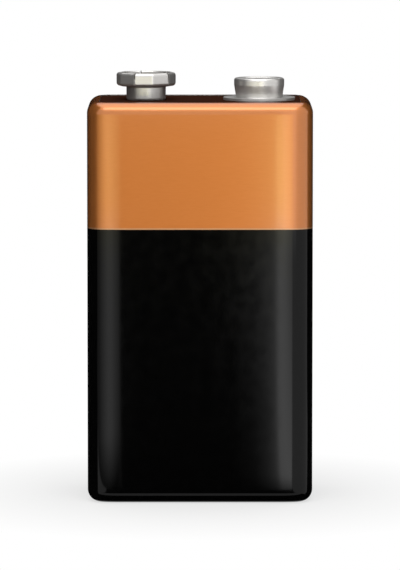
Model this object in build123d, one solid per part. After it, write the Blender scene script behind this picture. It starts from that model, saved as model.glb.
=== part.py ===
from build123d import *
import os
from math import atan2, degrees, hypot

# Nine volt battery: six small cylindrical cells in series, in a folded tinplate jacket with two snap
# terminals on top. Millimetres, +Z up. The origin is the middle of the base and the front faces -Y, with
# the negative socket on the left (-X) and the positive stud on the right (+X). The battery is sized from
# the inside out: the jacket takes its width, depth and height from the cells and what lies round them.

# Cells
cell_diameter = 7.84
cell_length = 39.05  # from the weld face of the end cap to the weld face of the pip
pip_radius = 1.8
pip_height = 0.9
shoulder_radius = 0.6  # round of the can's closed end
crimp_drop = 0.3  # how far the crimped rim lies behind the weld face of the cap
crimp_sheet = 0.25
crimp_width = 0.95  # from the can's wall in to the edge of its crimped rim
seal_depth = 1.3  # from the crimped rim down to the contents
can_wall = 0.25
cap_sheet = 0.3
seal_wall = 0.5  # between the can's wall and the cap's flange
cap_flange = 0.7  # from the cap's raised face out to the edge of its flange
cap_dish = 0.85  # from the weld face to the cap's flange
sleeve_film = 0.08
sleeve_margin = 0.5  # bare can at each end of the film sleeve

# Packing of the cells
columns = 3
cell_gap = 0.08  # between two sleeves, and between a sleeve and the liner
side_room = 0.4  # at the narrow sides, where the jacket's seam is
liner_paper = 0.1
liner_gap = 0.02

# Strips and cards over and under the cells
strip = 0.15
link_width = 3.6
link_overhang = 1.8  # past the axis of the cell that it is welded to
strip_corner = 0.5
card = 0.25
card_fit = 0.05
lead_width = 3.0
lead_overhang = 1.6
lead_bend = 0.4
lead_flat = 2.0  # flat part under the cover, from the rivet's axis out
lead_slope = 1.3  # run of the slanted part
slot_fit = 0.3

# Jacket
sheet = 0.2
jacket_corner = 2.6
top_bend = 1.3
top_lip = 1.4  # from the jacket's side in to the edge of its top curl
base_bend = 1.25
base_lip = 2.2
lip_corner = 1.1
seam_width = 2.6
seam_line = 0.16
seam_line_depth = 0.08
seam_fit = 0.3

# Covers
cover_fit = 0.05
deck = 2.0
deck_drop = 0.1  # of the cover's face below the jacket's rim
skirt_wall = 0.9
under_deck = 1.9  # room for the rivets and leads
divider = 0.8
base_plate = 1.3
base_drop = 0.1

# Snap terminals
terminal_spacing = 12.9
terminal_shift = 0.3  # of the pair of terminals towards the stud's end
head_radius = 2.86
head_band = 0.8  # from the stud's top down to where it starts to taper
neck_taper = 0.2  # how much slimmer the neck is than the head
neck_height = 0.4
stud_height = 2.5
stud_sheet = 0.28
stud_flange = 4.1
stud_round = 0.15
stud_flare = 0.2
recess_radius = 2.05
recess_depth = 0.35
recess_slant = 0.3
recess_round = 0.2
taper_round = 0.4
boss_fit = 0.06
socket_height = 3.12
socket_sheet = 0.22
socket_neck = 2.25  # outer radius
snap_squeeze = 0.14  # how much the petals' lip is smaller than the stud's head
lip_depth = 0.6
head_room = 0.17  # between a stud's head and the crown's wall round it
crown_height = 1.55
crown_corner = 0.5
crown_top_round = 0.34
crown_base_round = 0.4
crown_sides = 10
crown_turn = 31.6
mouth_round = 0.16
petals = 5  # parted by slots at every second corner of the crown
petal_slot = 0.22
petal_root = 0.3  # from the underside of the crown up to where the slots start
neck_fillet = 0.14
floor_bend = 0.35
seat_fit = 0.05

# Rivets
shank_radius = 0.85
rivet_fit = 0.05
rivet_head_radius = 1.25
rivet_head = 0.28
rivet_round = 0.14
tail_radius = 1.5
tail = 0.4

# Worked out from the sizes above
can_radius = cell_diameter / 2
cap_radius = can_radius - can_wall - seal_wall
cap_face_radius = cap_radius - cap_flange
sleeve_radius = can_radius + sleeve_film
cell_pitch = 2 * sleeve_radius + cell_gap
wrap = sheet + liner_gap + liner_paper  # everything between the pack of cells and the outside
jacket_width = columns * cell_pitch - cell_gap + 2 * (side_room + wrap)
jacket_depth = 2 * cell_pitch + cell_gap + 2 * wrap
base_top = sheet + base_plate
cells_bottom = base_top + card + strip
cells_top = cells_bottom + cell_length
skirt_bottom = cells_top + strip + card
deck_underside = skirt_bottom + under_deck
jacket_height = deck_underside + deck + sheet
deck_top = jacket_height - deck_drop
tail_top = deck_underside - strip
stud_x = terminal_shift + terminal_spacing / 2
socket_x = terminal_shift - terminal_spacing / 2
neck_radius = head_radius - neck_taper
crown_flats = 2 * (head_radius + head_room + socket_sheet)
snap_lip = head_radius - snap_squeeze
recess_floor = deck_top + stud_height - recess_depth


def rounded_block(width, depth, corner, bottom, top):
    """Upright block of rounded rectangular plan, centred on the Z axis."""
    return extrude(Pos(0, 0, bottom) * RectangleRounded(width, depth, corner), top - bottom)


def disc(x, radius, bottom, top):
    """Upright cylinder on the terminals' line."""
    return Pos(x, 0, bottom) * Cylinder(radius, top - bottom, align=(Align.CENTER, Align.CENTER, Align.MIN))


def top_rim(solid):
    """Edges of the highest face."""
    return solid.faces().sort_by(Axis.Z)[-1].edges()


def bottom_rim(solid):
    """Edges of the lowest face."""
    return solid.faces().sort_by(Axis.Z)[0].edges()


def turned(outline):
    """Solid of revolution about Z of an outline drawn with radius along x and height along y."""
    return revolve(Plane.XZ * outline, Axis.Z)


def bent_strip(points, radii, thickness):
    """Section of a sheet that follows the filleted line through the points, at its middle."""
    return trace(FilletPolyline(*points, radius=radii), thickness)


def cell_centres():
    """Places of the cells in the order of the current, from the negative terminal to the positive."""
    centres = []
    for column in range(columns):
        x = (column - (columns - 1) / 2) * cell_pitch
        rows = (-1, 1) if column % 2 == 0 else (1, -1)
        centres += [(x, row * cell_pitch / 2) for row in rows]
    return centres


def stand(piece, centre, pip_up):
    """Puts a piece of a cell, drawn with its cap down at zero, in its place in the pack."""
    if pip_up:
        return Pos(*centre, cells_bottom) * piece
    return Pos(*centre, cells_top) * Rot(180, 0, 0) * piece


# Cell pieces, drawn with the end cap's weld face at zero and the pip up


def cell_can():
    """Steel can with its pip, its crimped rim and its sealed contents."""
    rim = crimp_drop
    contents = rim + seal_depth
    recess = can_radius - can_wall
    crimp_edge = can_radius - crimp_width
    shoulder = cell_length - pip_height
    section = make_face(
        Polyline(
            (0, contents),
            (recess, contents),
            (recess, rim + crimp_sheet),
            (crimp_edge, rim + crimp_sheet),
            (crimp_edge, rim),
            (can_radius, rim),
            (can_radius, shoulder),
            (pip_radius, shoulder),
            (pip_radius, cell_length),
            (0, cell_length),
            close=True,
        )
    )
    wall_corners = section.vertices().group_by(Axis.X)[-1].sort_by(Axis.Y)
    section = fillet(wall_corners[-1], shoulder_radius)
    section = chamfer(section.vertices().group_by(Axis.X)[-1].sort_by(Axis.Y)[0], crimp_sheet / 2)
    pip_corner = section.vertices().group_by(Axis.Y)[-1].sort_by(Axis.X)[-1]
    return turned(chamfer(pip_corner, crimp_sheet / 2))


def cell_cap():
    """Dished end cap, whose flange the seal holds."""
    section = make_face(
        Polyline(
            (0, 0),
            (cap_face_radius, 0),
            (cap_face_radius, cap_dish),
            (cap_radius, cap_dish),
            (cap_radius, cap_dish + cap_sheet),
            (cap_face_radius - cap_sheet, cap_dish + cap_sheet),
            (cap_face_radius - cap_sheet, cap_sheet),
            (0, cap_sheet),
            close=True,
        )
    )
    return turned(section)


def cell_seal():
    """Nylon seal that grips the cap's flange and closes the can behind it."""
    section = make_face(
        Polyline(
            (0, cap_dish + cap_sheet),
            (cap_radius, cap_dish + cap_sheet),
            (cap_radius, cap_dish),
            (cap_face_radius, cap_dish),
            (cap_face_radius, crimp_drop + crimp_sheet),
            (can_radius - can_wall, crimp_drop + crimp_sheet),
            (can_radius - can_wall, crimp_drop + seal_depth),
            (0, crimp_drop + seal_depth),
            close=True,
        )
    )
    return turned(section)


def cell_sleeve():
    """Film tube on the can's straight wall."""
    bottom = crimp_drop + sleeve_margin
    top = cell_length - pip_height - sleeve_margin - shoulder_radius
    wall = Pos((can_radius + sleeve_radius) / 2, (bottom + top) / 2) * Rectangle(sleeve_film, top - bottom)
    return turned(wall)


# Strips, cards and liner


def link(first, second, bottom):
    """Welded nickel strip over the axes of two neighbouring cells."""
    length = cell_pitch + 2 * link_overhang
    turn = degrees(atan2(second[1] - first[1], second[0] - first[0]))
    middle = ((first[0] + second[0]) / 2, (first[1] + second[1]) / 2)
    outline = Pos(*middle, bottom) * Rot(0, 0, turn) * RectangleRounded(length, link_width, strip_corner)
    return extrude(outline, strip)


def lead_line(terminal_x, centre):
    """Distance and direction in plan from a terminal's axis to the axis of its cell."""
    return hypot(centre[0] - terminal_x, centre[1]), degrees(atan2(centre[1], centre[0] - terminal_x))


def lead(terminal_x, centre):
    """Strip clinched under the cover by the rivet and stepped down to the weld on its cell."""
    reach, turn = lead_line(terminal_x, centre)
    upper = deck_underside - strip / 2
    lower = cells_top + strip / 2
    points = (
        (-lead_overhang, upper),
        (lead_flat, upper),
        (lead_flat + lead_slope, lower),
        (reach + lead_overhang, lower),
    )
    section = Plane.XZ * bent_strip(points, [lead_bend, lead_bend], strip)
    bent = extrude(section, lead_width / 2, both=True)
    plan = Pos(reach / 2, 0, cells_top) * RectangleRounded(reach + 2 * lead_overhang, lead_width, strip_corner)
    cut = bent & extrude(plan, deck_underside - cells_top)
    hole = disc(0, shank_radius + rivet_fit, tail_top, deck_underside)
    return Pos(terminal_x, 0, 0) * Rot(0, 0, turn) * (cut - hole)


def lead_slot(terminal_x, centre):
    """Slot in the upper card for the slanted part of a lead."""
    turn = lead_line(terminal_x, centre)[1]
    middle = lead_flat + lead_slope / 2
    plan = Pos(middle, 0, 0) * Rectangle(lead_slope + 2 * slot_fit, lead_width + 2 * slot_fit)
    return Pos(terminal_x, 0, cells_top + strip) * Rot(0, 0, turn) * extrude(plan, card)


def rounded_box(inset, bottom, top):
    """Upright block of the jacket's plan drawn in by inset."""
    return rounded_block(
        jacket_width - 2 * inset, jacket_depth - 2 * inset, jacket_corner - inset, bottom, top
    )


def seam_room():
    """Space that the paper pieces leave for the seam inside the right-hand narrow side."""
    depth = 3 * sheet + seam_fit
    room = Box(depth, seam_width + 2 * seam_fit, skirt_bottom - base_top)
    return Pos((jacket_width - depth) / 2, 0, (base_top + skirt_bottom) / 2) * room


def insulator(bottom):
    """Fibre card that fills the liner and is notched at the seam."""
    return rounded_box(wrap + card_fit, bottom, bottom + card) - seam_room()


def liner():
    """Paper wrap round the cells, whose edges stop at the two sides of the seam."""
    wall = rounded_box(sheet + liner_gap, base_top, skirt_bottom) - rounded_box(wrap, base_top, skirt_bottom)
    return wall - seam_room()


# Jacket and covers


def folded_box(inset):
    """The jacket's form drawn in by inset, with both its rims bent over."""
    box = rounded_box(inset, inset, jacket_height - inset)
    box = fillet(top_rim(box), top_bend - inset)
    return fillet(bottom_rim(box), base_bend - inset)


def lip_opening(lip, clearance, bottom, top):
    """What a rim's curl leaves open, less a clearance all round."""
    inset = lip + clearance
    return rounded_block(jacket_width - 2 * inset, jacket_depth - 2 * inset, lip_corner, bottom, top)


def jacket():
    """Tinplate sheet folded round the pack, with its lock seam on the right-hand narrow side."""
    shell = folded_box(0) - folded_box(sheet)
    shell -= lip_opening(top_lip, 0, jacket_height - sheet, jacket_height)
    shell -= lip_opening(base_lip, 0, 0, sheet)
    fold = Box(2 * sheet, seam_width, skirt_bottom - base_top)
    fold = fillet(fold.edges().filter_by(Axis.Z).sort_by(Axis.X)[:2], sheet)
    shell += Pos(jacket_width / 2 - 2 * sheet, 0, (base_top + skirt_bottom) / 2) * fold
    line = Box(2 * seam_line_depth, seam_line, jacket_height - top_bend - base_bend)
    middle = (base_bend + jacket_height - top_bend) / 2
    return shell - Pos(jacket_width / 2, -seam_width / 2, middle) * line


def top_cover():
    """Moulded cover with a skirt, a dividing wall, a boss inside the stud and a seat for the socket."""
    cover = rounded_box(sheet + cover_fit, skirt_bottom, jacket_height - sheet)
    cover = fillet(top_rim(cover), top_bend - sheet)
    cover += lip_opening(top_lip, cover_fit, jacket_height - sheet, deck_top)
    inside = sheet + cover_fit + skirt_wall
    cover -= rounded_box(inside, skirt_bottom, deck_underside)
    wall = Box(divider, jacket_depth - 2 * inside, under_deck)
    cover += Pos(0, 0, (skirt_bottom + deck_underside) / 2) * wall
    cover += disc(stud_x, neck_radius - stud_sheet - boss_fit, deck_top, recess_floor - stud_sheet)
    cover -= disc(socket_x, socket_neck + seat_fit, deck_top - socket_sheet, deck_top)
    for x, top in ((stud_x, recess_floor), (socket_x, deck_top)):
        cover -= disc(x, shank_radius + rivet_fit, deck_underside, top)
    return cover


def base_cover():
    """Moulded plate that the jacket's bottom curl holds."""
    plate = rounded_box(sheet + cover_fit, sheet, base_top)
    plate = fillet(bottom_rim(plate), base_bend - sheet)
    return plate + lip_opening(base_lip, cover_fit, base_drop, sheet)


# Terminals


def positive_stud():
    """Drawn stud: riveted recess, narrow rim, short band, long taper to the neck and wide foot flange."""
    half = stud_sheet / 2
    foot = deck_top + half
    crest = deck_top + stud_height - half
    points = (
        (shank_radius + rivet_fit, crest - recess_depth),
        (recess_radius, crest - recess_depth),
        (recess_radius + recess_slant, crest),
        (head_radius - half, crest),
        (head_radius - half, crest + half - head_band),
        (neck_radius - half, deck_top + neck_height),
        (neck_radius - half, foot),
        (stud_flange, foot),
    )
    rim = head_radius - half - recess_radius - recess_slant
    radii = [recess_round, recess_round, min(stud_round, rim / 2), taper_round, taper_round, stud_flare]
    return Pos(stud_x, 0, 0) * turned(bent_strip(points, radii, stud_sheet))


def crown_block(inset):
    """Ten-sided block of the crown's form, drawn in by inset."""
    low = deck_top + socket_height - crown_height + inset
    high = deck_top + socket_height - inset
    outline = RegularPolygon(crown_flats / 2 - inset, crown_sides, major_radius=False, rotation=crown_turn)
    outline = fillet(outline.vertices(), crown_corner - inset)
    block = extrude(Pos(0, 0, low) * outline, high - low)
    block = fillet(top_rim(block), crown_top_round - inset)
    return fillet(bottom_rim(block), crown_base_round - inset)


def negative_socket():
    """Drawn snap socket: riveted floor, round neck and a ten-sided crown slit into sprung petals."""
    top = deck_top + socket_height
    shelf = top - crown_height
    half = socket_sheet / 2
    points = (
        (shank_radius + rivet_fit, deck_top - half),
        (socket_neck - half, deck_top - half),
        (socket_neck - half, shelf + socket_sheet),
    )
    cup = turned(bent_strip(points, [floor_bend], socket_sheet))
    crown = crown_block(0) - crown_block(socket_sheet)
    crown += disc(0, snap_lip + socket_sheet, top - lip_depth, top - socket_sheet)
    crown -= disc(0, snap_lip, top - lip_depth, top)
    crown -= disc(0, socket_neck - socket_sheet, shelf, shelf + socket_sheet)
    mouth = crown.edges().filter_by(GeomType.CIRCLE).group_by(Axis.Z)[-1].sort_by(SortBy.RADIUS)[-1]
    crown = fillet(mouth, mouth_round)
    slot = Box(crown_flats, petal_slot, crown_height, align=(Align.MIN, Align.CENTER, Align.MIN))
    socket = cup + crown
    neck_edges = socket.edges().filter_by(GeomType.CIRCLE).filter_by_position(Axis.Z, shelf - 1e-4, shelf + 1e-4)
    socket = fillet(neck_edges.sort_by(SortBy.RADIUS)[-1], neck_fillet)
    for petal in range(petals):
        turn = crown_turn + petal * 360 / petals
        socket -= Rot(0, 0, turn) * Pos(0, 0, shelf + petal_root) * slot
    return Pos(socket_x, 0, 0) * socket


def rivet(x, seat):
    """Solid rivet from the terminal's floor through the cover, its tail spread under the lead."""
    head = disc(x, rivet_head_radius, seat, seat + rivet_head)
    head = fillet(top_rim(head), rivet_round)
    foot = disc(x, tail_radius, tail_top - tail, tail_top)
    foot = fillet(bottom_rim(foot), rivet_round)
    return head + disc(x, shank_radius, tail_top, seat) + foot


def model():
    """All the pieces by name."""
    centres = cell_centres()
    bottom_pairs = zip(centres[0::2], centres[1::2])
    top_pairs = zip(centres[1:-1:2], centres[2::2])
    upper_card = insulator(cells_top + strip)
    upper_card -= lead_slot(socket_x, centres[0])
    upper_card -= lead_slot(stud_x, centres[-1])
    pieces = {
        "jacket": jacket(),
        "top_cover": top_cover(),
        "base_cover": base_cover(),
        "positive_stud": positive_stud(),
        "positive_rivet": rivet(stud_x, recess_floor),
        "positive_lead": lead(stud_x, centres[-1]),
        "negative_socket": negative_socket(),
        "negative_rivet": rivet(socket_x, deck_top),
        "negative_lead": lead(socket_x, centres[0]),
        "top_insulator": upper_card,
        "bottom_insulator": insulator(base_top),
        "liner": liner(),
    }
    for number, (first, second) in enumerate(bottom_pairs, 1):
        pieces[f"bottom_link_{number}"] = link(first, second, base_top + card)
    for number, (first, second) in enumerate(top_pairs, 1):
        pieces[f"top_link_{number}"] = link(first, second, cells_top)
    makers = {"can": cell_can, "cap": cell_cap, "seal": cell_seal, "sleeve": cell_sleeve}
    for number, centre in enumerate(centres, 1):
        for kind, maker in makers.items():
            pieces[f"cell_{number}_{kind}"] = stand(maker(), centre, pip_up=number % 2 == 0)
    return pieces


os.makedirs("parts", exist_ok=True)
for name, piece in model().items():
    export_step(piece, f"parts/{name}.step")
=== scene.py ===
import bmesh
import bpy
from math import cos, pi, radians, sin, tan
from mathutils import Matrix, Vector


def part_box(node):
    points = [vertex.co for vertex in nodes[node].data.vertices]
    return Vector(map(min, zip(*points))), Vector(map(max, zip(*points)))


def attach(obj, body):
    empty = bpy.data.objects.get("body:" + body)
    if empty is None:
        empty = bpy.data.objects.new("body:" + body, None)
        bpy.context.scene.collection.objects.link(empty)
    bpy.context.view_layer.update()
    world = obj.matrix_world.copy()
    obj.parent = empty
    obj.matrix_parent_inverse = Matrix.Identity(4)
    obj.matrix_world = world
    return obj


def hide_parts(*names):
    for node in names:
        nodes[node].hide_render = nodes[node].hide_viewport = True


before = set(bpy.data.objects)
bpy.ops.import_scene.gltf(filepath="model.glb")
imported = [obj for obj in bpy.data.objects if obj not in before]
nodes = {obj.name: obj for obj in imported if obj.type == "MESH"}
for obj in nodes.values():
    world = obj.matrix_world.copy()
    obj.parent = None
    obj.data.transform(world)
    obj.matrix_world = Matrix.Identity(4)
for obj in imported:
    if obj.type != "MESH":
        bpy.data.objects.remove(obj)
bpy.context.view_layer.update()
mm = 0.001

# Cell cans and end caps
# Deep-drawn steel, nickel plated before drawing and closed by a crimp over the seal. The drawing die
# leaves fine lines up the wall, drawn coarser than the real ones to show, and the plating is bright but
# not a mirror.


def linear(code):
    """Linear colour of an sRGB hex code."""
    channels = [int(code[start : start + 2], 16) / 255 for start in (1, 3, 5)]
    return [c / 12.92 if c <= 0.04045 else ((c + 0.055) / 1.055) ** 2.4 for c in channels] + [1]


def add_node(material, kind, inputs, **settings):
    """Adds a node with its settings, and gives each input its value or its link."""
    tree = material.node_tree
    node = tree.nodes.new("ShaderNode" + kind)
    for name, value in settings.items():
        setattr(node, name, value)
    for name, value in inputs.items():
        if isinstance(value, bpy.types.NodeSocket):
            tree.links.new(value, node.inputs[name])
        else:
            node.inputs[name].default_value = value
    return node


def new_finish(name, **surface):
    """A material whose surface takes the given values, and the surface's node."""
    material = bpy.data.materials.new(name)
    material.use_nodes = True
    shader = material.node_tree.nodes["Principled BSDF"]
    for socket, value in surface.items():
        shader.inputs[socket.replace("_", " ")].default_value = value
    return material, shader


def grain(material, size, detail=2.0):
    """Noise on the piece's own place, whose grains have the given size in metres along X, Y and Z."""
    place = add_node(material, "TexCoord", {}).outputs["Object"]
    scale = [1 / length for length in size]
    stretched = add_node(material, "Mapping", {"Vector": place, "Scale": scale}).outputs["Vector"]
    inputs = {"Vector": stretched, "Scale": 1.0, "Detail": detail}
    return add_node(material, "TexNoise", inputs).outputs["Fac"]


# Nearly all of the noise lies between these values.
noise_low = 0.3
noise_high = 0.7


def vary(material, shader, socket, noise, low, high):
    """Lets a socket of the surface run between two values with the noise."""
    inputs = {"Value": noise, "From Min": noise_low, "From Max": noise_high, "To Min": low, "To Max": high}
    spread = add_node(material, "MapRange", inputs).outputs["Result"]
    material.node_tree.links.new(spread, shader.inputs[socket])


# A mix has sockets of one name for each kind of value. These are the numbers of those for colours.
mix_share = 0
mix_first = 6
mix_second = 7
mix_result = 2


def tint(material, shader, noise, dark, light):
    """Lets the surface's colour run between two hex colours with the noise."""
    inputs = {mix_share: noise, mix_first: linear(dark), mix_second: linear(light)}
    mixed = add_node(material, "Mix", inputs, data_type="RGBA").outputs[mix_result]
    material.node_tree.links.new(mixed, shader.inputs["Base Color"])


def roughen(material, shader, noise, depth):
    """Raises the surface by up to the given depth in metres with the noise."""
    bump = add_node(material, "Bump", {"Height": noise, "Strength": 1.0, "Distance": depth})
    material.node_tree.links.new(bump.outputs["Normal"], shader.inputs["Normal"])


def dress(names, material):
    """Gives the named pieces of the frame one material."""
    for name in names:
        slots = nodes[name].data.materials
        slots.clear()
        slots.append(material)


cells = range(1, 7)
drawn_steel, surface = new_finish("nickel_plated_drawn_steel", Metallic=1.0)
draw_lines = grain(drawn_steel, (0.12 * mm, 0.12 * mm, 9 * mm))
tint(drawn_steel, surface, draw_lines, "#A9A59B", "#C9C6BD")
vary(drawn_steel, surface, "Roughness", draw_lines, 0.22, 0.38)
roughen(drawn_steel, surface, draw_lines, 0.003 * mm)
dress([f"cell_{n}_can" for n in cells] + [f"cell_{n}_cap" for n in cells], drawn_steel)

# Cell seals
# Rings of natural nylon, injection moulded, gripped between the cap's flange and the can's crimp.
# Milky and slightly translucent, with a satin skin from the mould.

nylon, surface = new_finish("moulded_natural_nylon", IOR=1.53, Subsurface_Weight=0.2)
surface.inputs["Subsurface Radius"].default_value = (0.8 * mm, 0.7 * mm, 0.6 * mm)
surface.inputs["Subsurface Scale"].default_value = 1.0
mould_skin = grain(nylon, (0.25 * mm, 0.25 * mm, 0.25 * mm))
tint(nylon, surface, mould_skin, "#DAD4C2", "#E8E3D4")
vary(nylon, surface, "Roughness", mould_skin, 0.4, 0.5)
dress([f"cell_{n}_seal" for n in cells], nylon)

# Cell sleeves
# Thin polypropylene film shrunk on each can, which keeps the cans apart, because each of them is live.
# Glossy, with faint draw lines round it from the shrinking.

film, surface = new_finish("shrunk_polypropylene_film", IOR=1.49)
shrink_lines = grain(film, (3 * mm, 3 * mm, 0.35 * mm))
tint(film, surface, shrink_lines, "#55834F", "#62925B")
vary(film, surface, "Roughness", shrink_lines, 0.12, 0.22)
roughen(film, surface, shrink_lines, 0.004 * mm)
dress([f"cell_{n}_sleeve" for n in cells], film)

# Links and leads
# Rolled nickel strip, cut to length and spot welded to the cells. The two leads are bent and clinched
# under the terminals' rivets. Rolling leaves a soft sheen with a fine grain, drawn coarser than the real
# one to show.

strip, surface = new_finish("rolled_nickel_strip", Metallic=1.0)
rolling = grain(strip, (1.2 * mm, 0.08 * mm, 0.08 * mm))
tint(strip, surface, rolling, "#AFA999", "#C6C1B2")
vary(strip, surface, "Roughness", rolling, 0.28, 0.42)
roughen(strip, surface, rolling, 0.003 * mm)
links = ["top_link_1", "top_link_2", "bottom_link_1", "bottom_link_2", "bottom_link_3"]
dress(links + ["positive_lead", "negative_lead"], strip)

# Insulator cards
# Punched from tan vulcanised fibre, laid over and under the cells. Matte, with the matted fibres of
# the sheet showing as pale flecks.

fibre, surface = new_finish("vulcanised_fibre_card", IOR=1.5)
flecks = grain(fibre, (0.5 * mm, 0.5 * mm, 0.5 * mm), detail=6.0)
tint(fibre, surface, flecks, "#9C8263", "#B79B79")
vary(fibre, surface, "Roughness", flecks, 0.75, 0.9)
roughen(fibre, surface, flecks, 0.01 * mm)
dress(["top_insulator", "bottom_insulator"], fibre)

# Liner
# Kraft paper wrapped once round the cells inside the jacket. Matte brown, with long fibres that run
# round the wrap, as the paper machine laid them.

kraft, surface = new_finish("kraft_paper", IOR=1.45)
fibres = grain(kraft, (1.6 * mm, 1.6 * mm, 0.12 * mm), detail=5.0)
tint(kraft, surface, fibres, "#8B6C48", "#B08F66")
vary(kraft, surface, "Roughness", fibres, 0.8, 0.92)
roughen(kraft, surface, fibres, 0.008 * mm)
dress(["liner"], kraft)

# Base cover
# Black polypropylene plate, injection moulded against a fine spark-eroded mould face, and held by the
# jacket's bottom curl. Matte with a very fine even grain.

black_moulding, surface = new_finish("black_moulded_polypropylene", IOR=1.49)
surface.inputs["Specular IOR Level"].default_value = 0.3
spark_grain = grain(black_moulding, (0.16 * mm, 0.16 * mm, 0.16 * mm))
tint(black_moulding, surface, spark_grain, "#131211", "#1E1C1A")
vary(black_moulding, surface, "Roughness", spark_grain, 0.5, 0.65)
roughen(black_moulding, surface, spark_grain, 0.008 * mm)
dress(["base_cover"], black_moulding)

# Top cover
# Dark brown polypropylene with a fine spark-eroded grain, moulded with the boss and the seat of the
# terminals and held by the jacket's top curl. So matte that it stays dark at a low angle too.

brown_moulding, surface = new_finish("brown_moulded_polypropylene", IOR=1.49)
surface.inputs["Specular IOR Level"].default_value = 0.0
brown_grain = grain(brown_moulding, (0.16 * mm, 0.16 * mm, 0.16 * mm))
tint(brown_moulding, surface, brown_grain, "#2E1912", "#3F251A")
vary(brown_moulding, surface, "Roughness", brown_grain, 0.75, 0.88)
roughen(brown_moulding, surface, brown_grain, 0.008 * mm)
dress(["top_cover"], brown_moulding)

# Polarity signs
# A plus behind the stud and a minus behind the socket, raised in the cover's own moulding, as the
# standard asks for. Each stroke has softened edges and stands 0.12 mm proud.

stud_low, stud_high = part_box("positive_stud")
socket_low, socket_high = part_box("negative_socket")
stud_x = (stud_low.x + stud_high.x) / 2
socket_x = (socket_low.x + socket_high.x) / 2
deck_top = stud_low.z
sign_length = 1.5 * mm
sign_stroke = 0.36 * mm
sign_height = 0.12 * mm
sign_y = 5.8 * mm
sign_edge = 0.05 * mm


def deselect():
    """Leaves nothing selected."""
    bpy.ops.object.select_all(action="DESELECT")


def pick(piece, kind, chosen):
    """In edit mode, selects only the faces, edges or vertices that the test chooses."""
    bpy.ops.mesh.select_mode(type=kind)
    bpy.ops.mesh.select_all(action="DESELECT")
    shape = bmesh.from_edit_mesh(piece.data)
    for item in {"FACE": shape.faces, "EDGE": shape.edges, "VERT": shape.verts}[kind]:
        item.select_set(chosen(item))
    bmesh.update_edit_mesh(piece.data)


def apply_all(piece):
    """Applies the piece's modifiers in their order."""
    bpy.context.view_layer.objects.active = piece
    for modifier in list(piece.modifiers):
        bpy.ops.object.modifier_apply(modifier=modifier.name)


def raised_sign(name, x, plus):
    """One sign: a square whose sides are drawn out into arms, raised and softened."""
    deselect()
    bpy.ops.mesh.primitive_plane_add(size=sign_stroke, location=(x, sign_y, deck_top))
    sign = bpy.context.object
    sign.name = name
    bpy.ops.object.transform_apply(location=True, rotation=True, scale=True)
    bpy.ops.object.mode_set(mode="EDIT")
    arm = (sign_length - sign_stroke) / 2
    for way in [(1, 0), (-1, 0)] + ([(0, 1), (0, -1)] if plus else []):
        step = Vector((way[0], way[1], 0))
        edge_place = Vector((x, sign_y, deck_top)) + step * sign_stroke / 2

        def at_side(edge):
            middle = (edge.verts[0].co + edge.verts[1].co) / 2
            return (middle - edge_place).length < sign_stroke / 10

        pick(sign, "EDGE", at_side)
        bpy.ops.mesh.extrude_region_move(TRANSFORM_OT_translate={"value": step * arm})
    bpy.ops.mesh.select_all(action="SELECT")
    bpy.ops.mesh.extrude_region_move(TRANSFORM_OT_translate={"value": (0, 0, sign_height)})
    bpy.ops.mesh.select_all(action="SELECT")
    bpy.ops.mesh.normals_make_consistent(inside=False)
    bpy.ops.object.mode_set(mode="OBJECT")
    bevel = sign.modifiers.new("soft_edges", "BEVEL")
    bevel.width = sign_edge
    bevel.segments = 3
    apply_all(sign)
    bpy.ops.object.shade_smooth_by_angle(angle=radians(40))
    sign.data.materials.append(brown_moulding)
    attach(sign, "root")
    return sign


raised_sign("plus_sign", stud_x, plus=True)
raised_sign("minus_sign", socket_x, plus=False)

# Terminals and rivets
# Drawn from nickel-plated steel strip and riveted through the cover. The plating is satin, with faint
# rings round the walls, where the strip was drawn over its punch. They are coarser than the real ones.

plating, surface = new_finish("satin_nickel_plating", Metallic=0.75)
draw_rings = grain(plating, (4 * mm, 4 * mm, 0.09 * mm))
tint(plating, surface, draw_rings, "#D2D0CD", "#DEDCD9")
vary(plating, surface, "Roughness", draw_rings, 0.3, 0.35)
roughen(plating, surface, draw_rings, 0.0015 * mm)
dress(["positive_stud", "negative_socket", "positive_rivet", "negative_rivet"], plating)

# Jacket
# One sheet of tinplate, printed flat, then folded round the battery, locked to itself on the
# right-hand narrow side and curled over both covers. The print is a metallic copper lacquer above and
# a black enamel below, both under a clear varnish. The inside is bare tin.

sheet = 0.2 * mm
corner_reach = 5.0 * mm
bend_steps = 16
corner_steps = 40
top_bend = 1.3 * mm
top_lip = 1.4 * mm
base_bend = 1.25 * mm
base_lip = 2.2 * mm
lip_corner = 1.1 * mm
print_edge = 31.18 * mm
register_line = 0.17 * mm
seam_y = -1.3 * mm
seam_gap = 0.16 * mm
seam_depth = 0.08 * mm
fold_width = 2.6 * mm
low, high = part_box("jacket")
half_width = high.x
half_depth = high.y
height = high.z
tolerance = 0.001 * mm

# A superellipse of power 4.2 keeps the corner on its 2.6 mm arc and lets it fade into the flat sides,
# as pressed sheet does. The bevel's profile is worked out from that power.
corner_power = 4.2
corner_profile = 0.25 ** (1 / corner_power)

# Copper lacquer over tin: a soft metallic sheen with faint level streaks, under a hard clear gloss.
copper, surface = new_finish("copper_lacquer_on_tinplate", Metallic=0.6)
surface.inputs["Specular Tint"].default_value = linear("#C8763A")
surface.inputs["Coat Weight"].default_value = 1.0
surface.inputs["Coat Roughness"].default_value = 0.07
flake = grain(copper, (0.9 * mm, 0.9 * mm, 0.14 * mm), detail=3.0)
tint(copper, surface, flake, "#C27438", "#C97B40")
vary(copper, surface, "Roughness", flake, 0.29, 0.33)

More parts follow.
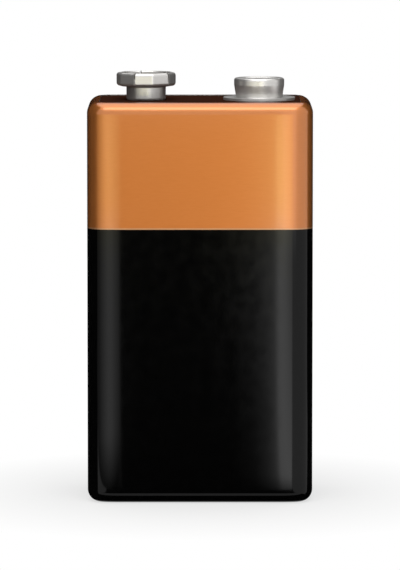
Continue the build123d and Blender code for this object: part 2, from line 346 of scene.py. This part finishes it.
# Just over the black, a thin line of the copper's paler first coat shows where the black ends short of
# the second.
register, surface = new_finish("copper_first_coat", Metallic=0.6)
surface.inputs["Specular Tint"].default_value = linear("#D89A66")
surface.inputs["Coat Weight"].default_value = 0.4
surface.inputs["Coat Roughness"].default_value = 0.08
first_coat = grain(register, (0.9 * mm, 0.9 * mm, 0.14 * mm))
tint(register, surface, first_coat, "#BE8A62", "#C4926C")
vary(register, surface, "Roughness", first_coat, 0.32, 0.4)

# Black enamel under the varnish: almost no colour of its own, and sharp dark reflections.
enamel, surface = new_finish("black_enamel_on_tinplate", IOR=1.5)
surface.inputs["Specular IOR Level"].default_value = 0.2
peel = grain(enamel, (1.4 * mm, 1.4 * mm, 1.4 * mm))
tint(enamel, surface, peel, "#030303", "#060606")
vary(enamel, surface, "Roughness", peel, 0.07, 0.1)

# Bare tin on the inside and the cut edges: bright, with upright rolling lines that are coarser than real.
bare_tin, surface = new_finish("bare_tinplate", Metallic=1.0)
tin_grain = grain(bare_tin, (0.1 * mm, 0.1 * mm, 5 * mm))
tint(bare_tin, surface, tin_grain, "#B4B3AF", "#C9C8C4")
vary(bare_tin, surface, "Roughness", tin_grain, 0.25, 0.4)

deselect()
bpy.ops.mesh.primitive_cube_add(size=1, location=(low + high) / 2, scale=high - low)
jacket = bpy.context.object
jacket.name = "jacket_sheet"
bpy.ops.object.transform_apply(location=True, rotation=True, scale=True)
bpy.ops.object.mode_set(mode="EDIT")
pick(jacket, "EDGE", lambda edge: abs(edge.verts[0].co.z - edge.verts[1].co.z) > height / 2)
bpy.ops.mesh.bevel(offset=corner_reach, segments=corner_steps, profile=corner_profile, clamp_overlap=False)


def runs_at(edge, level):
    """Whether an edge lies at a height."""
    return all(abs(corner.co.z - level) < tolerance for corner in edge.verts)


def lies_at(face, level):
    """Whether a face lies flat at a height."""
    return abs(face.normal.z) > 0.99 and abs(face.calc_center_median().z - level) < tolerance


for rim, bend in ((height, top_bend), (0, base_bend)):
    pick(jacket, "EDGE", lambda edge: runs_at(edge, rim))
    bpy.ops.mesh.bevel(offset=bend, segments=bend_steps, profile=0.5, clamp_overlap=False)

# Each curl's flat lip runs from the bend to an opening whose corners have their own radius. The plane
# that gives the opening faces down, because the bridge crosses over itself at the base otherwise.
for rim, lip in ((height, top_lip), (0, base_lip)):
    pick(jacket, "FACE", lambda face: lies_at(face, rim))
    bpy.ops.mesh.delete(type="ONLY_FACE")
    bpy.ops.mesh.select_mode(type="VERT")
    bpy.ops.mesh.select_all(action="DESELECT")
    bpy.ops.mesh.primitive_plane_add(size=2, location=(0, 0, rim), rotation=(0, pi, 0))
    opening = (half_width - lip, half_depth - lip, 1)
    bpy.ops.transform.resize(value=opening, center_override=(0, 0, rim))
    bpy.ops.mesh.bevel(offset=lip_corner, segments=corner_steps, affect="VERTICES", clamp_overlap=False)
    pick(jacket, "FACE", lambda face: lies_at(face, rim))
    bpy.ops.mesh.delete(type="ONLY_FACE")
    pick(jacket, "EDGE", lambda edge: len(edge.link_faces) < 2 and runs_at(edge, rim))
    bpy.ops.mesh.bridge_edge_loops()
bpy.ops.mesh.select_all(action="SELECT")
bpy.ops.mesh.normals_make_consistent(inside=False)

# The lock seam shows outside as one fine groove from bend to bend.
pick(jacket, "FACE", lambda face: face.normal.x > 0.999 and face.calc_area() > half_depth * half_width)
for edge_y in (seam_y - seam_gap / 2, seam_y + seam_gap / 2):
    bpy.ops.mesh.bisect(plane_co=(0, edge_y, 0), plane_no=(0, 1, 0))
    pick(jacket, "FACE", lambda face: face.normal.x > 0.999 and face.calc_area() > sheet * half_width)


def in_seam(face):
    """Whether a face of the seam's side lies between the two cuts."""
    return face.normal.x > 0.999 and abs(face.calc_center_median().y - seam_y) < seam_gap / 4


pick(jacket, "FACE", in_seam)
bpy.ops.mesh.extrude_region_move(TRANSFORM_OT_translate={"value": (-seam_depth, 0, 0)})

# The print's edges are cut into the mesh, so that each field of colour has its own faces.
for level in (print_edge, print_edge + register_line):
    bpy.ops.mesh.select_all(action="SELECT")
    bpy.ops.mesh.bisect(plane_co=(0, 0, level), plane_no=(0, 0, 1))
bpy.ops.object.mode_set(mode="OBJECT")
finishes = [copper, register, enamel, bare_tin]
for finish in finishes:
    jacket.data.materials.append(finish)
for face in jacket.data.polygons:
    if face.center.z < print_edge:
        face.material_index = finishes.index(enamel)
    elif face.center.z < print_edge + register_line:
        face.material_index = finishes.index(register)
wall = jacket.modifiers.new("sheet", "SOLIDIFY")
wall.thickness = sheet
wall.offset = -1
wall.use_even_offset = True
wall.use_quality_normals = True
wall.material_offset = finishes.index(bare_tin)
wall.material_offset_rim = finishes.index(bare_tin)
apply_all(jacket)

# The fold of the lock seam lies inside, against the liner.
fold_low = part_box("liner")[0].z
fold_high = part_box("liner")[1].z
deselect()
fold_place = (half_width - 2 * sheet, 0, (fold_low + fold_high) / 2)
fold_size = (2 * sheet, fold_width, fold_high - fold_low)
bpy.ops.mesh.primitive_cube_add(size=1, location=fold_place, scale=fold_size)
fold = bpy.context.object
fold.name = "seam_fold"
bpy.ops.object.transform_apply(location=True, rotation=True, scale=True)
round_over = fold.modifiers.new("round_over", "BEVEL")
round_over.width = sheet / 2
round_over.segments = 4
apply_all(fold)
for finish in finishes:
    fold.data.materials.append(finish)
for face in fold.data.polygons:
    face.material_index = finishes.index(bare_tin)
deselect()
fold.select_set(True)
jacket.select_set(True)
bpy.context.view_layer.objects.active = jacket
bpy.ops.object.join()
bpy.ops.object.shade_smooth_by_angle(angle=radians(35))
even = jacket.modifiers.new("even_gloss", "WEIGHTED_NORMAL")
even.keep_sharp = True
apply_all(jacket)
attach(jacket, "root")
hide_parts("jacket")

# Studio
# Pale floor paper in a white room, with soft lamps over the battery and before it. Black cards and lit
# strips show in reflections alone, and draw the dark edges and the soft bands of the varnish and the
# metal, as they do round any glossy product.

floor_size = 8
foot_glow = 0.65
foot_glow_from = 0.012
foot_glow_to = 0.036


def seen(material):
    """1 where the camera, a reflection or a clear body shows the surface, 0 where it only sheds light."""
    rays = add_node(material, "LightPath", {}).outputs
    inputs = {0: rays["Is Camera Ray"], 1: rays["Is Glossy Ray"]}
    shown = add_node(material, "Math", inputs, operation="MAXIMUM").outputs[0]
    inputs = {0: shown, 1: rays["Is Transmission Ray"]}
    return add_node(material, "Math", inputs, operation="MAXIMUM").outputs[0]


# The floor glows white where it is seen, and less at the battery's foot, where its shadow shows.
deselect()
bpy.ops.mesh.primitive_plane_add(size=floor_size, location=(0, 0, 0))
floor = bpy.context.object
floor.name = "floor"
floor_paper, surface = new_finish("pale_floor_paper", Roughness=0.9)
surface.inputs["Base Color"].default_value = linear("#E9E9E8")
surface.inputs["Specular IOR Level"].default_value = 0.0
glow = add_node(floor_paper, "Emission", {"Color": (1, 1, 1, 1), "Strength": 1.0}).outputs[0]
place = add_node(floor_paper, "TexCoord", {}).outputs["Object"]
reach = add_node(floor_paper, "VectorMath", {0: place}, operation="LENGTH").outputs["Value"]
inputs = {"Value": reach, "From Min": foot_glow_from, "From Max": foot_glow_to, "To Min": foot_glow}
fade = add_node(floor_paper, "MapRange", inputs).outputs["Result"]
inputs = {0: seen(floor_paper), 1: fade}
share = add_node(floor_paper, "Math", inputs, operation="MULTIPLY").outputs[0]
blend = add_node(floor_paper, "MixShader", {0: share, 1: surface.outputs[0], 2: glow}).outputs[0]
output = floor_paper.node_tree.nodes["Material Output"]
floor_paper.node_tree.links.new(blend, output.inputs["Surface"])
floor.data.materials.append(floor_paper)

# The room is white where it is seen, and lights the battery more softly than that.
room_fill = 0.37
room = bpy.data.worlds.new("studio")
bpy.context.scene.world = room
room.use_nodes = True
inputs = {"Value": seen(room), "To Min": room_fill}
level = add_node(room, "MapRange", inputs).outputs["Result"]
sky = room.node_tree.nodes["Background"]
sky.inputs["Color"].default_value = (1, 1, 1, 1)
room.node_tree.links.new(level, sky.inputs["Strength"])


def soft_lamp(name, place, width, length, radiance):
    """A rectangular lamp that faces the battery's middle and looks as bright as its radiance."""
    data = bpy.data.lights.new(name, "AREA")
    data.shape = "RECTANGLE"
    data.size = width
    data.size_y = length
    data.energy = radiance * pi * width * length
    lamp = bpy.data.objects.new(name, data)
    bpy.context.scene.collection.objects.link(lamp)
    lamp.location = place
    aim = Vector((0, 0, height / 2)) - lamp.location
    lamp.rotation_euler = aim.to_track_quat("-Z", "Y").to_euler()


# The strong lamp overhead lights the front of the curl. The weak one keeps the flat nickel from clipping.
soft_lamp("overhead_front", place=(0, -0.145, 0.29), width=0.26, length=0.15, radiance=2.9)
soft_lamp("overhead_back", place=(0, 0.045, 0.30), width=0.26, length=0.23, radiance=0.95)
soft_lamp("front_left", place=(-0.14, -0.34, 0.14), width=0.14, length=0.28, radiance=0.15)
soft_lamp("front_right", place=(0.065, -0.215, 0.10), width=0.10, length=0.20, radiance=0.65)


def reflection_card(name, corners, paper):
    """A flat card that shows in glossy reflections alone."""
    mesh = bpy.data.meshes.new(name)
    mesh.from_pydata(corners, [], [range(len(corners))])
    mesh.materials.append(paper)
    card = bpy.data.objects.new(name, mesh)
    bpy.context.scene.collection.objects.link(card)
    card.visible_camera = False
    card.visible_diffuse = False
    card.visible_transmission = False
    card.visible_volume_scatter = False
    card.visible_shadow = False


black_paper, surface = new_finish("black_card", Roughness=1.0)
surface.inputs["Base Color"].default_value = linear("#161616")
surface.inputs["Specular IOR Level"].default_value = 0.0

# At the sides: two high black cards. Each starts at its own angle from the front, as seen from the axis.
side_x = 0.15
side_top = 0.30
side_end = 1.5
left_card_angle = radians(59.5)
right_card_angle = radians(100)
left_start = -side_x / tan(left_card_angle)
right_start = -side_x / tan(right_card_angle)
for name, x, start in (("left_card", -side_x, left_start), ("right_card", side_x, right_start)):
    outline = [(start, 0), (side_end, 0), (side_end, side_top), (start, side_top)]
    reflection_card(name, [(x, y, z) for y, z in outline], black_paper)

# On the floor: a black card in front and one under the battery's front edge, with a gap between them that
# draws the thin line along its foot, and one round each side and behind.
lift = 0.0002
front_far = -0.7
front_far_x = (-0.073, 0.0091)
foot_x = 0.0135
foot_gap = (half_depth + 0.0008, half_depth + 0.0035)
foot_under = half_depth - 0.002
side_inner = half_width - 0.001
flats = {
    "front_card": [
        (-foot_x, -foot_gap[1]),
        (front_far_x[0], front_far),
        (front_far_x[1], front_far),
        (foot_x, -foot_gap[1]),
    ],
    "foot_card": [
        (-foot_x, -foot_under),
        (-foot_x, -foot_gap[0]),
        (foot_x, -foot_gap[0]),
        (foot_x, -foot_under),
    ],
}
for name, side, start in (("left_floor_card", -1, left_start), ("right_floor_card", 1, right_start)):
    inner = side * side_inner
    outer = side * side_x
    flats[name] = [(inner, -half_depth), (outer, start), (outer, side_end), (inner, side_end)]
for name, outline in flats.items():
    reflection_card(name, [(x, y, lift) for x, y in outline], black_paper)

# The lit strips turn golden between these distances. What lies beyond shows in the copper field alone.
gilt_from = 0.345
gilt_to = 0.37
gilt = (1.25, 1.17, 0.5, 1)
brightest = 4.0


def strip_glow(name, pivot, span, levels, rise_from, rise_to):
    """A glow that changes over a span of degrees about a point of the floor, and rises with the distance."""
    material = bpy.data.materials.new(name)
    material.use_nodes = True
    place = add_node(material, "TexCoord", {}).outputs["Object"]
    inputs = {0: place, 1: (pivot[0], pivot[1], 0)}
    arm = add_node(material, "VectorMath", inputs, operation="SUBTRACT").outputs["Vector"]
    axes = add_node(material, "SeparateXYZ", {"Vector": arm}).outputs
    ahead = add_node(material, "Math", {0: axes["Y"], 1: -1.0}, operation="MULTIPLY").outputs[0]
    aside = add_node(material, "Math", {0: axes["X"]}, operation="ABSOLUTE").outputs[0]
    turn = add_node(material, "Math", {0: aside, 1: ahead}, operation="ARCTAN2").outputs[0]
    inputs = {"Value": turn, "From Max": radians(span)}
    share = add_node(material, "MapRange", inputs).outputs["Result"]
    ramp = add_node(material, "ValToRGB", {"Fac": share})
    stops = ramp.color_ramp.elements
    while len(stops) < len(levels):
        stops.new(0.5)
    for stop, (angle, level) in zip(stops, levels):
        stop.position = angle / span
        stop.color = (level / brightest, level / brightest, level / brightest, 1)
    reach = add_node(material, "VectorMath", {0: place}, operation="LENGTH").outputs["Value"]
    inputs = {"Value": reach, "From Min": rise_from, "From Max": rise_to, "To Max": brightest}
    rise = add_node(material, "MapRange", inputs).outputs["Result"]
    inputs = {"Value": reach, "From Min": gilt_from, "From Max": gilt_to}
    gilding = add_node(material, "MapRange", inputs).outputs["Result"]
    inputs = {mix_share: gilding, mix_first: ramp.outputs["Color"], mix_second: gilt}
    mixed = add_node(material, "Mix", inputs, data_type="RGBA", blend_type="MULTIPLY").outputs[mix_result]
    light = add_node(material, "Emission", {"Color": mixed, "Strength": rise}).outputs[0]
    tree = material.node_tree
    tree.links.new(light, tree.nodes["Material Output"].inputs["Surface"])
    return material


# One lit strip on each side draws the soft band along that front corner. Each of its levels is an angle
# from the front in degrees, as seen from the pivot, and the brightness there.
left_levels = [
    (0, 0.4),
    (5, 1.2),
    (9, 1.7),
    (15, 1.8),
    (22, 1.45),
    (32, 1.0),
    (46, 0.5),
    (60, 0.3),
    (75, 0.2),
]
right_levels = [
    (0.44, 0.02),
    (0.66, 0.12),
    (0.8, 0.45),
    (0.93, 1.2),
    (1.04, 3.2),
    (1.4, 3.4),
    (4.0, 2.3),
    (8.3, 1.3),
]
left_pivot = (-0.0104, -half_depth)
right_pivot = (0, 0.5392)
left_glow = strip_glow(
    "left_strip_glow", left_pivot, span=90, levels=left_levels, rise_from=0.018, rise_to=0.065
)
right_glow = strip_glow(
    "right_strip_glow", right_pivot, span=9, levels=right_levels, rise_from=0.015, rise_to=0.03
)

# The strips start 8 mm in front of the battery. Each has two places along X there, and two far out.
strip_y = -half_depth - 0.008
left_near_x = (-0.009, -0.013)
left_far_x = (-0.0387, -1.5)
right_near_x = (0.004, 0.0128)
right_far_x = (0.0091, 0.2166)
for name, near_x, far_x, glow in (
    ("left_strip", left_near_x, left_far_x, left_glow),
    ("right_strip", right_near_x, right_far_x, right_glow),
):
    outline = [(near_x[0], strip_y), (far_x[0], front_far), (far_x[1], front_far), (near_x[1], strip_y)]
    reflection_card(name, [(x, y, 2 * lift) for x, y in outline], glow)

# Close behind: two low black cards beside the battery, which darken its outermost edges.
back_y = half_depth + 0.001
back_inner = half_width - 0.0013
back_top = height + 0.003
for name, side in (("left_back_card", -1), ("right_back_card", 1)):
    outline = [(back_inner, 0), (side_x, 0), (side_x, back_top), (back_inner, back_top)]
    reflection_card(name, [(side * x, back_y, z) for x, z in outline], black_paper)

# Far behind: a wide black screen just over the horizon, which draws the flat rims against the white.
screen_x = 0.25
screen_y = 0.30
screen_low = 0.062
screen_high = 0.20
outline = [
    (-screen_x, screen_low),
    (screen_x, screen_low),
    (screen_x, screen_high),
    (-screen_x, screen_high),
]
reflection_card("back_screen", [(x, screen_y, z) for x, z in outline], black_paper)

# Camera
# A long lens straight from the front, a little above the battery, at the distance that gives the
# picture's slant of the top.

distance = 0.5615
elevation = radians(5.91)
aim_height = 0.02405
focal_length = 309.5
sensor_width = 36
lens = bpy.data.cameras.new("camera")
lens.lens = focal_length
lens.sensor_width = sensor_width
camera = bpy.data.objects.new("camera", lens)
bpy.context.scene.collection.objects.link(camera)
camera.location = (0, -distance * cos(elevation), aim_height + distance * sin(elevation))
camera.rotation_euler = (pi / 2 - elevation, 0, 0)
bpy.context.scene.camera = camera
bpy.context.scene.view_settings.view_transform = "Standard"
